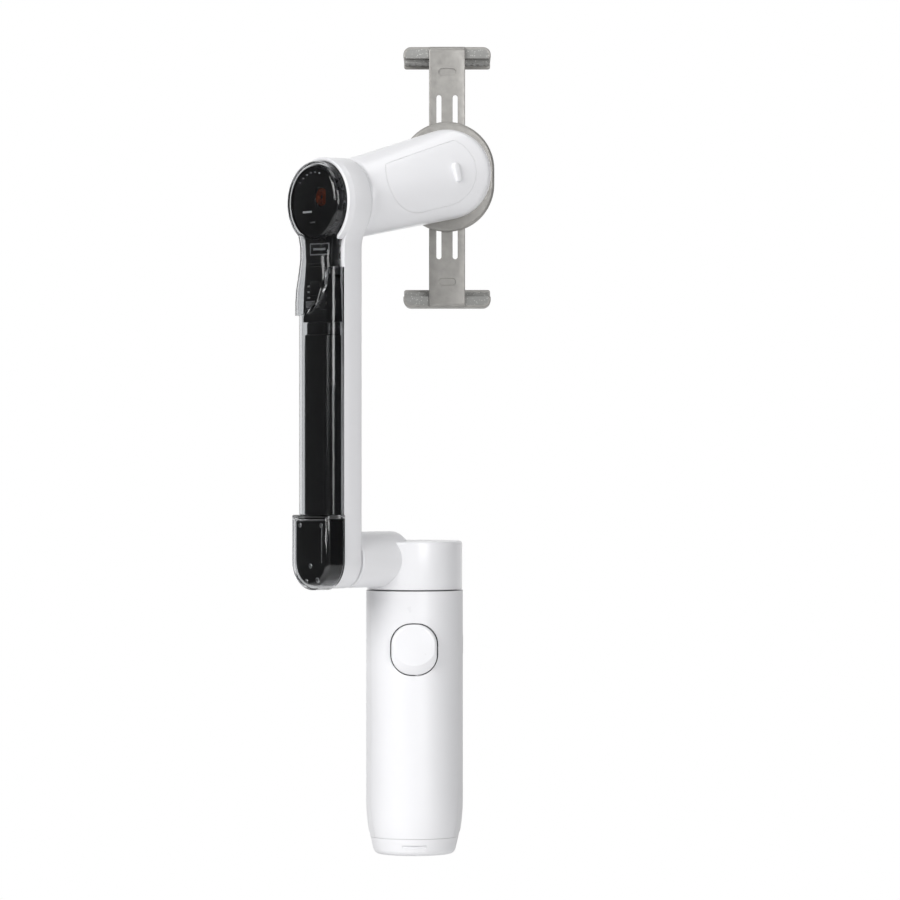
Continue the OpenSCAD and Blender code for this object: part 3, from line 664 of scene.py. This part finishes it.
def head_board():
    """The round board before the roll motor: a coil window, small parts and a plain bar."""
    body = BODY_OF["arm_board"]
    face = ARM_MID - 4.6
    at_motor = on_roll_axis(ROLL_Z)
    disc = slab("arm_board.disc", circle(11.4), face, face + 0.9, at_motor, 0.15, 0, 2)
    window_at = Vector((-3.4, 1.6, 0))
    window = shifted(rectangle(5.6, 6.4, 1.6), window_at.x, window_at.y)
    cut(disc, slab("window", window, face - 1, face + 2, at_motor))
    finish_piece(disc, "black_plastic", body=body)
    for i in range(3):
        coil = ring_solid(f"arm_board.coil_{i}", 2.9 - 0.8 * i, 2.3 - 0.8 * i, face + 0.35,
                          face + 0.85, at_motor @ Matrix.Translation(window_at), 0.12, 32)
        finish_piece(coil, "copper_wire", body=body)
    can = ring_solid("arm_board.can", 12.25, 11.75, face - 0.35, BOARD_FACE, at_motor, 0.12)
    finish_piece(can, "motor_steel", body=body)
    for i, at in enumerate(circle(9.9, (0, ROLL_Z), 5, 42, 107)):
        small_block(f"arm_board.dot_{i}", at, (0.8, 0.55, 0.3), "steel", body, 0.1, face)
    small_block("arm_board.bar", (3.4, ROLL_Z - 3.1), (4.6, 0.7, 0.15), "white_shell", body, 0.1,
                face)
    small_block("arm_board.mark", (0.6, ROLL_Z - 6.6), (2.6, 0.5, 0.15), "steel", body, 0.1, face)


# ---------- motors ----------

POST_R = 5.2
POST_IN = 4.0
BELL_R = 12.2
MAGNET_IN = 10.5
SHAFT_R = 1.95


def spoked_rotor(name, node, matrix, back, front, shaft_back, shaft_front):
    """A motor's bell: a magnet ring, a face with windows that show the coils, and its shaft."""
    face = lathe(name, [(0.01, front), (BELL_R - 0.4, front), (BELL_R, front + 0.4),
                        (BELL_R, front + 0.9), (0.01, front + 0.9)], matrix)
    for i in range(5):
        turn = Matrix.Rotation(2 * math.pi * i / 5, 4, "Z")
        window = [(r * math.cos(math.radians(a)), r * math.sin(math.radians(a)))
                  for r, angles in ((10.2, range(-26, 27, 4)), (5.0, range(20, -21, -5)))
                  for a in angles]
        cut(face, slab("window", window, front - 1, front + 2, matrix @ turn))
    finish_piece(face, "motor_steel", node=node)
    body = BODY_OF[node]
    ring = ring_solid(name + ".ring", BELL_R, MAGNET_IN, front + 0.9, back, matrix, 0.25)
    finish_piece(ring, "motor_steel", body=body)
    shaft = lathe(name + ".shaft", [(0.01, shaft_front - 0.5), (1.5, shaft_front - 0.5),
                                    (SHAFT_R, shaft_front), (SHAFT_R, shaft_back),
                                    (0.01, shaft_back)], matrix, 48)
    finish_piece(shaft, "steel", body=body)


def roll_rotor():
    matrix = on_roll_axis(ROLL_Z)
    front, end = along_range("roll_rotor")
    spoked_rotor("roll_rotor.bell", "roll_rotor", matrix, ARM_IN - HEAD_WALL - 0.6, front, end,
                 front + 0.5)
    hub = lathe("roll_rotor.hub", [(0.01, ARM_IN + 0.5), (3.9, ARM_IN + 0.5), (3.9, ARM_IN + 3.2),
                                   (0.01, ARM_IN + 3.2)], matrix, 48)
    finish_piece(hub, "motor_steel", body=BODY_OF["roll_rotor"])


# ---------- roll arm ----------

# The arm's round end on the roll axis, and the tilt motor's drum
END_R = 13.2
END_LIFT = 2.2
DRUM_R = 14.7
DRUM_FRONT = -9.2
# The front cap: the centre of its left circle, its heading, and the run to its right circle
CAP_SEAT = (0.28, -17.22, 225.5)
CAP_TURN = math.radians(27.3)
CAP_SPAN = Vector((9.6, 2.4))
CAP_R = 11.6
RIDGE_TOP = 4.3
RIDGE_LEAN = math.radians(14.4)


def smooth_hull(name, points, voxel, rounds):
    """The convex hull of a cloud of points, remeshed finely and relaxed."""
    cloud = bmesh.new()
    for point in points:
        cloud.verts.new(point)
    made = bmesh.ops.convex_hull(cloud, input=cloud.verts)
    inner = {part for part in made["geom_interior"] + made["geom_unused"]
             if isinstance(part, bmesh.types.BMVert)}
    bmesh.ops.delete(cloud, geom=list(inner), context="VERTS")
    mesh = bpy.data.meshes.new(name)
    cloud.to_mesh(mesh)
    cloud.free()
    thing = bpy.data.objects.new(name, mesh)
    bpy.context.scene.collection.objects.link(thing)
    remesh = thing.modifiers.new("remesh", "REMESH")
    remesh.mode = "VOXEL"
    remesh.voxel_size = voxel * MM
    relax = thing.modifiers.new("relax", "SMOOTH")
    relax.factor = 0.5
    relax.iterations = rounds
    return applied(thing)


def rim_points(matrix, radius, bottom, top, rim):
    """Points on a disc with a rounded bottom rim."""
    points = []
    for i in range(9):
        turn = math.pi / 2 * i / 8
        r, z = radius - rim * (1 - math.sin(turn)), bottom + rim * (1 - math.cos(turn))
        points += [matrix @ Vector((x, y, z)) for x, y in circle(r, count=128)]
    return points + [matrix @ Vector((x, y, top)) for x, y in circle(radius, count=128)]


def cap_prism(name, radius):
    """The front cap's outline as a prism out of its seat, and the seat's matrix."""
    seat_axis = Matrix.Rotation(CAP_TURN, 3, "Z") @ Vector((0, -1, 0))
    across = Matrix.Rotation(CAP_TURN, 3, "Z") @ Vector((1, 0, 0))
    matrix = frame_matrix(across, UP, seat_axis, CAP_SEAT)
    return slab(name, capsule((0, 0), CAP_SPAN, radius, 40), 0, 20, matrix), matrix


def roll_arm():
    """The arm between the roll and tilt motors, and its front cap with the ridge."""
    seam = along_range("roll_arm")[0]
    left = on_roll_axis(ROLL_Z + END_LIFT)
    back = high("roll_arm", 1)
    right = facing_phone(TILT_X, TILT_Z)
    points = rim_points(left, END_R, seam, seam + 5.4, 3.0)
    points += rim_points(right, DRUM_R, DRUM_FRONT, back - 0.8, 2.6)
    points += [right @ Vector((x, y, back)) for x, y in circle(DRUM_R - 0.8, count=128)]
    form = smooth_hull("roll_arm.shell", points, 0.42, 6)
    cap = form.copy()
    cap.data = form.data.copy()
    cap.name = "front_cap.plate"
    bpy.context.scene.collection.objects.link(cap)
    floor_y = DRUM_FRONT + HEAD_WALL
    drum = lathe("drum", [(0.01, floor_y), (12.7, floor_y), (12.7, back + 1), (0.01, back + 1)],
                 right)
    inner = lathe("inner", [(9.6, seam + 3), (9.6, -15)], left)
    bore = lathe("bore", [(POST_IN, seam - 1), (POST_IN, seam + 4)], on_roll_axis(ROLL_Z))
    cut(form, drum, inner, bore, cap_prism("pocket", CAP_R + 0.02)[0])
    join(form, ring_solid("post", POST_R, POST_IN, floor_y - 0.4, back - 1.6, right, 0.2, 64))
    finish_piece(form, "white_shell", node="roll_arm")

    prism, matrix = cap_prism("prism", CAP_R)
    combine(cap, [prism], "INTERSECT")
    lean = Matrix.Rotation(RIDGE_LEAN, 4, "Z")
    place = Matrix.Translation(Vector((CAP_SPAN.x + 4.4, CAP_SPAN.y - 0.4, 0)))
    ridge = slab("ridge", rectangle(2.4, 6.6, 1.15, 8), 1.0, RIDGE_TOP, matrix @ place @ lean,
                 0, 0.6)
    join(cap, ridge)
    finish_piece(cap, "white_shell", node="front_cap")


# ---------- pan housing ----------

COLLAR_LOW = 88.6
COLLAR_HIGH = 104.8
COLLAR_R = 16.0
COLLAR_IN = 14.6
BOSS_R = 9.3
FOLD_PIN_R = 3.0


def pan_housing():
    """The rotating collar, the boss that carries the folding arm, and the motor's shaft."""
    collar_axis = frame_matrix(Vector((1, 0, 0)), Vector((0, 1, 0)), UP)
    profile = [(COLLAR_R - 0.5, COLLAR_LOW)]
    profile += circle(0.35, (COLLAR_R - 0.35, COLLAR_LOW + 0.35), 3, -90, 0)
    profile += circle(1, (COLLAR_R - 1, COLLAR_HIGH - 1), 6, 0, 90)
    collar = lathe("pan_housing.shell", profile, collar_axis, 128)
    boss_axis = on_roll_axis(FOLD_Z)
    boss = lathe("boss", [(BOSS_R - 0.4, ROLL_SEAM), (BOSS_R - 0.05, ROLL_SEAM + 0.35),
                          (BOSS_R, ROLL_SEAM + 0.8), (BOSS_R, -10.6), (9.2, -9.6), (8.8, -8.7),
                          (8.0, -7.4), (5.7, -3.8)], boss_axis, 96)
    cavity = lathe("cavity", [(COLLAR_IN, COLLAR_LOW - 1), (COLLAR_IN, COLLAR_HIGH - 2.2)],
                   collar_axis, 96)
    bore = lathe("bore", [(FOLD_PIN_R, ROLL_SEAM - 1), (FOLD_PIN_R, -16.6)], boss_axis, 48)
    shaft = lathe("shaft", [(1.5, 92), (SHAFT_R, 92.5), (SHAFT_R, COLLAR_HIGH - 1)],
                  collar_axis, 48)
    join(collar, boss)
    cut(collar, cavity, bore)
    join(collar, shaft)
    finish_piece(collar, "white_shell", node="pan_housing", sharp=28)


# ---------- clamp ----------

PLATE_HALF = 16.0
PLATE_TALL = 18.6
STRIP_HALF = 6.1
STRIP_T = 2.2
STRIP_IN = 8.0
BEND = 1.6
SLOT_X = 2.75
SLOT_HALF = 0.85
SLOT_LOW = 14
SLOT_HIGH = 27
MARK_Z = 35.5
JAW_HALF = 14.8
JAW_T = 3.9
JAW_GAP = 0.08
PAD_T = 1.5


def oval(width, height, count=36):
    return (circle(width, (0, height - width), count, 0, 180)
            + circle(width, (0, width - height), count, 180, 360))


def depths(node):
    """Where a node ends and starts towards the viewer, on the local Z of facing_back."""
    return -high(node, 1), -low(node, 1)


def clamp_housing():
    back, front = depths("clamp_housing")
    matrix = facing_back(TILT_X, TILT_Z)
    plate = slab("clamp_housing.shell", oval(PLATE_HALF, PLATE_TALL), back, front, matrix, 0.3, 1.1)
    channel = slab("channel", rectangle(2 * STRIP_HALF + 0.2, 60, 0.3), back - 1,
                   depths("upper_strip")[1] + 0.1, matrix)
    cut(plate, channel)
    finish_piece(plate, "clamp_metal", node="clamp_housing")


def clamp_back():
    """The plate behind the strips and the grooved rubber pad on it."""
    matrix = facing_back(TILT_X, TILT_Z)
    plate = slab("clamp_plate.body", oval(PLATE_HALF - 0.6, PLATE_TALL - 0.6),
                 *depths("clamp_plate"), matrix, 0.3, 0.1)
    finish_piece(plate, "clamp_metal", node="clamp_plate")
    face = depths("clamp_pad")[0]
    pad = slab("clamp_pad.body", oval(PLATE_HALF - 1.8, PLATE_TALL - 1.8), *depths("clamp_pad"),
               matrix, 0.4, 0.0)
    for i in range(-3, 4):
        groove = shifted(rectangle(22, 1.2, 0.55), 0, 4 * i)
        cut(pad, slab("groove", groove, face - 1, face + 0.45, matrix))
    finish_piece(pad, "pad_rubber", node="clamp_pad")


def at_jaw(sign):
    """Local Y points outwards along the strip, and local Z towards the viewer."""
    return frame_matrix(Vector((sign, 0, 0)), UP * sign, Vector((0, -1, 0)), (TILT_X, 0, TILT_Z))


def jaw_strip(side, matrix, jaw_top):
    """The flat strip that slides in the housing and bends over into the jaw."""
    tongue_back, front = depths(side + "_strip")
    back = front - STRIP_T
    under = jaw_top - BEND - 0.05
    outline = round_corners([(STRIP_IN, front), (STRIP_IN, back), (under, back),
                             (under, tongue_back), (jaw_top, tongue_back), (jaw_top, front, BEND)],
                            0, 8)
    side_on = matrix @ Matrix(((0, 0, 1, 0), (1, 0, 0, 0), (0, 1, 0, 0), (0, 0, 0, 1)))
    strip = slab(side + "_strip.body", outline, -STRIP_HALF, STRIP_HALF, side_on, 0.3, 0.3, 3)
    for x in (-SLOT_X, SLOT_X):
        slot = capsule((x, SLOT_LOW), (x, SLOT_HIGH), SLOT_HALF, 10)
        cut(strip, slab("slot", slot, back - 1, front + 1, matrix))
    mark = shifted(rectangle(5.8, 2.4, 1.15), 0, MARK_Z)
    cut(strip, slab("mark", mark, front - 0.35, front + 1, matrix))
    finish_piece(strip, "clamp_metal", node=side + "_strip", sharp=40)


def jaw_plate(side, matrix, jaw_top):
    """The jaw, its lip over the phone's edge, and the speckled insert in its outer face."""
    jaw_low = jaw_top - JAW_T
    edge = jaw_top - JAW_GAP
    back, front = depths(side + "_jaw")
    front -= JAW_GAP
    shape = round_corners([(-JAW_HALF, jaw_low), (JAW_HALF, jaw_low), (JAW_HALF, edge, 2.6),
                           (-JAW_HALF, edge, 2.6)], 0.4, 8)
    jaw = slab(side + "_jaw.body", shape, back, front, matrix, 0.5, 0.5)
    lip = slab("lip", rectangle(2 * JAW_HALF - 0.2, 5.2, 0.8), back + 0.05, back + 1.5,
               matrix @ Matrix.Translation(Vector((0, jaw_low, 0))), 0.45, 0.3)
    join(jaw, lip)
    half = JAW_HALF - 0.7
    face = round_corners([(-half, jaw_low), (half, jaw_low), (half, edge - 0.75, 2.0),
                          (-half, edge - 0.75, 2.0)], 0.3, 8)
    insert = slab(side + "_jaw.insert", face, front - 0.3, front + 0.05, matrix, 0, 0.1, 2)
    finish_piece(jaw, "clamp_metal", node=side + "_jaw", sharp=40)
    finish_piece(insert, "pad_rubber", body=BODY_OF[side + "_jaw"])


def jaw_pad(side, matrix, jaw_top):
    """The rubber pad on the jaw's inner face, with grooves across it."""
    jaw_low = jaw_top - JAW_T
    back, front = depths(side + "_pad")
    pad = slab(side + "_pad.body", rectangle(28.6, PAD_T, 0.3, 3), back, front,
               matrix @ Matrix.Translation(Vector((0, jaw_low - PAD_T / 2, 0))), 0.2, 0.2, 3)
    for i in range(-6, 7):
        groove = shifted(circle(0.35, count=12), 2.1 * i, jaw_low - PAD_T - 0.1)
        cut(pad, slab("groove", groove, back - 1, front + 1, matrix))
    finish_piece(pad, "pad_rubber", node=side + "_pad")


def clamp_jaw(sign, side):
    jaw_top = high("upper_jaw", 2) - TILT_Z
    for make_part in (jaw_strip, jaw_plate, jaw_pad):
        make_part(side, at_jaw(sign), jaw_top)


# ---------- grip ----------

def trigger():
    """A rounded-square key whose face falls away below in a crescent."""
    back, front = depths("trigger")
    z = (low("trigger", 2) + high("trigger", 2)) / 2
    matrix = facing_back(0, z)
    key = slab("trigger.key", rectangle(15.2, 16.8, 6.8, 12), back, front + 0.6, matrix,
               0.1, 1.3, 6)
    face = lathe("face", [(0.01, back - 1), (13, back - 1), (13, front - 3.4),
                          (7.5, front + 0.5), (6.8, front + 0.75), (0.01, front + 0.8)],
                 facing_back(0, z + 2.0), 128)
    combine(key, [face], "INTERSECT")
    finish_piece(key, "white_shell", node="trigger")


def joystick():
    axis = facing_phone(0, (low("joystick_cap", 2) + high("joystick_cap", 2)) / 2)
    top = high("joystick_cap", 1)
    cap = lathe("joystick_cap.body", [(0.01, 17.1), (0.8, 17.3), (1.1, 18.2), (1.1, 21.6),
                                      (2.2, 22.2), (3.3, 22.5), (3.8, 22.9), (3.9, 23.4),
                                      (3.7, top - 0.1), (3.2, top), (2.6, top - 0.25),
                                      (1.6, top - 0.45), (0.01, top - 0.5)], axis, 64)
    finish_piece(cap, "black_plastic", node="joystick_cap")


WHEEL_R = 10.4
WHEEL_IN = 5.6
WHEEL_TEETH = 36


def control_wheel():
    axis = facing_phone(0, (low("control_wheel", 2) + high("control_wheel", 2)) / 2)
    face = high("control_wheel", 1)
    wheel = ring_solid("control_wheel.ring", WHEEL_R, WHEEL_IN, low("control_wheel", 1), face, axis,
                       0.6, 120)
    out = Matrix.Translation(Vector((0, 9.2, 0)))
    for i in range(WHEEL_TEETH):
        turn = Matrix.Rotation(2 * math.pi * i / WHEEL_TEETH, 4, "Z")
        notch = slab("notch", rectangle(0.5, 1.6, 0.2, 3), face - 0.5, face + 1, axis @ turn @ out)
        cut(wheel, notch)
    finish_piece(wheel, "grey_plastic", node="control_wheel")


for make in (arm_shell, clear_head, clear_tube, clear_cup, arm_core, arm_electronics, head_board,
             roll_rotor, roll_arm, pan_housing, clamp_housing, clamp_back, trigger, joystick,
             control_wheel):
    make()
clamp_jaw(1, "upper")
clamp_jaw(-1, "lower")

# ---------- camera, light and floor ----------

CAMERA_FAR = 1.5
FRAME_W = 0.302
AIM = Vector((0.0119, 0, 0.1352))
FLOOR_Z = -0.15
FLOOR_R = 0.95
ROOM_LEFT = 0.07
ROOM_RIGHT = 0.04
LAMP_AIM = (0, 0, 0.13)


def area_light(name, place, aim, size, power):
    light = bpy.data.lights.new(name, "AREA")
    light.shape = "RECTANGLE"
    light.size, light.size_y = size
    light.energy = power
    lamp = bpy.data.objects.new(name, light)
    lamp.location = place
    lamp.rotation_euler = (Vector(aim) - Vector(place)).to_track_quat("-Z", "Y").to_euler()
    bpy.context.scene.collection.objects.link(lamp)


def floor(name, z, radius, colour):
    mesh = bpy.data.meshes.new(name)
    rim = [(x, y, z) for x, y in circle(radius, count=96)]
    mesh.from_pydata(rim, [], [tuple(range(len(rim)))])
    piece = bpy.data.objects.new(name, mesh)
    bpy.context.scene.collection.objects.link(piece)
    shader = Shader(name)
    paler = tuple(channel * 0.985 for channel in colour)
    drift = shader.ramp(shader.noise(3, 2), 0, 1)
    shader.set(Base_Color=shader.blend(drift, colour, paler), Roughness=0.9)
    mesh.materials.append(shader.material)


def studio_world():
    """White behind the object, and a dim grey room in front of it, lighter on the left."""
    world = bpy.data.worlds.new("studio")
    world.use_nodes = True
    tree = world.node_tree
    sky = tree.nodes["Background"]
    place = tree.nodes.new("ShaderNodeTexCoord")
    parts = tree.nodes.new("ShaderNodeSeparateXYZ")
    tree.links.new(place.outputs["Generated"], parts.inputs[0])

    def graded(value, start, end, first, last):
        node = tree.nodes.new("ShaderNodeMapRange")
        node.interpolation_type = "SMOOTHSTEP"
        tree.links.new(value, node.inputs["Value"])
        for key, number in (("From Min", start), ("From Max", end),
                            ("To Min", first), ("To Max", last)):
            node.inputs[key].default_value = number
        return node.outputs[0]

    side = graded(parts.outputs[0], -0.9, 0.9, ROOM_LEFT, ROOM_RIGHT)
    back = graded(parts.outputs[1], 0.3, 0.9, 0.0, 1.0)
    mix = tree.nodes.new("ShaderNodeMix")
    tree.links.new(back, mix.inputs["Factor"])
    tree.links.new(side, mix.inputs["A"])
    mix.inputs["B"].default_value = 1.0
    tree.links.new(mix.outputs[0], sky.inputs["Strength"])
    sky.inputs["Color"].default_value = (1, 1, 1, 1)
    return world


def studio():
    camera_data = bpy.data.cameras.new("camera")
    camera_data.lens = camera_data.sensor_width * CAMERA_FAR / FRAME_W
    camera = bpy.data.objects.new("camera", camera_data)
    camera.location = AIM - Vector((0, CAMERA_FAR, 0))
    camera.rotation_euler = (math.pi / 2, 0, 0)
    bpy.context.scene.collection.objects.link(camera)
    bpy.context.scene.camera = camera

    bpy.context.scene.world = studio_world()
    bpy.context.scene.view_settings.view_transform = "Standard"
    floor("floor", FLOOR_Z, FLOOR_R, (0.95, 0.95, 0.95))
    area_light("key", (-1.05, -1.0, 0.75), LAMP_AIM, (0.9, 0.9), 18)
    area_light("fill", (0.55, -1.35, 0.5), LAMP_AIM, (0.6, 0.9), 10)
    area_light("top", (0.1, -0.15, 1.25), LAMP_AIM, (0.8, 0.5), 2.5)


studio()
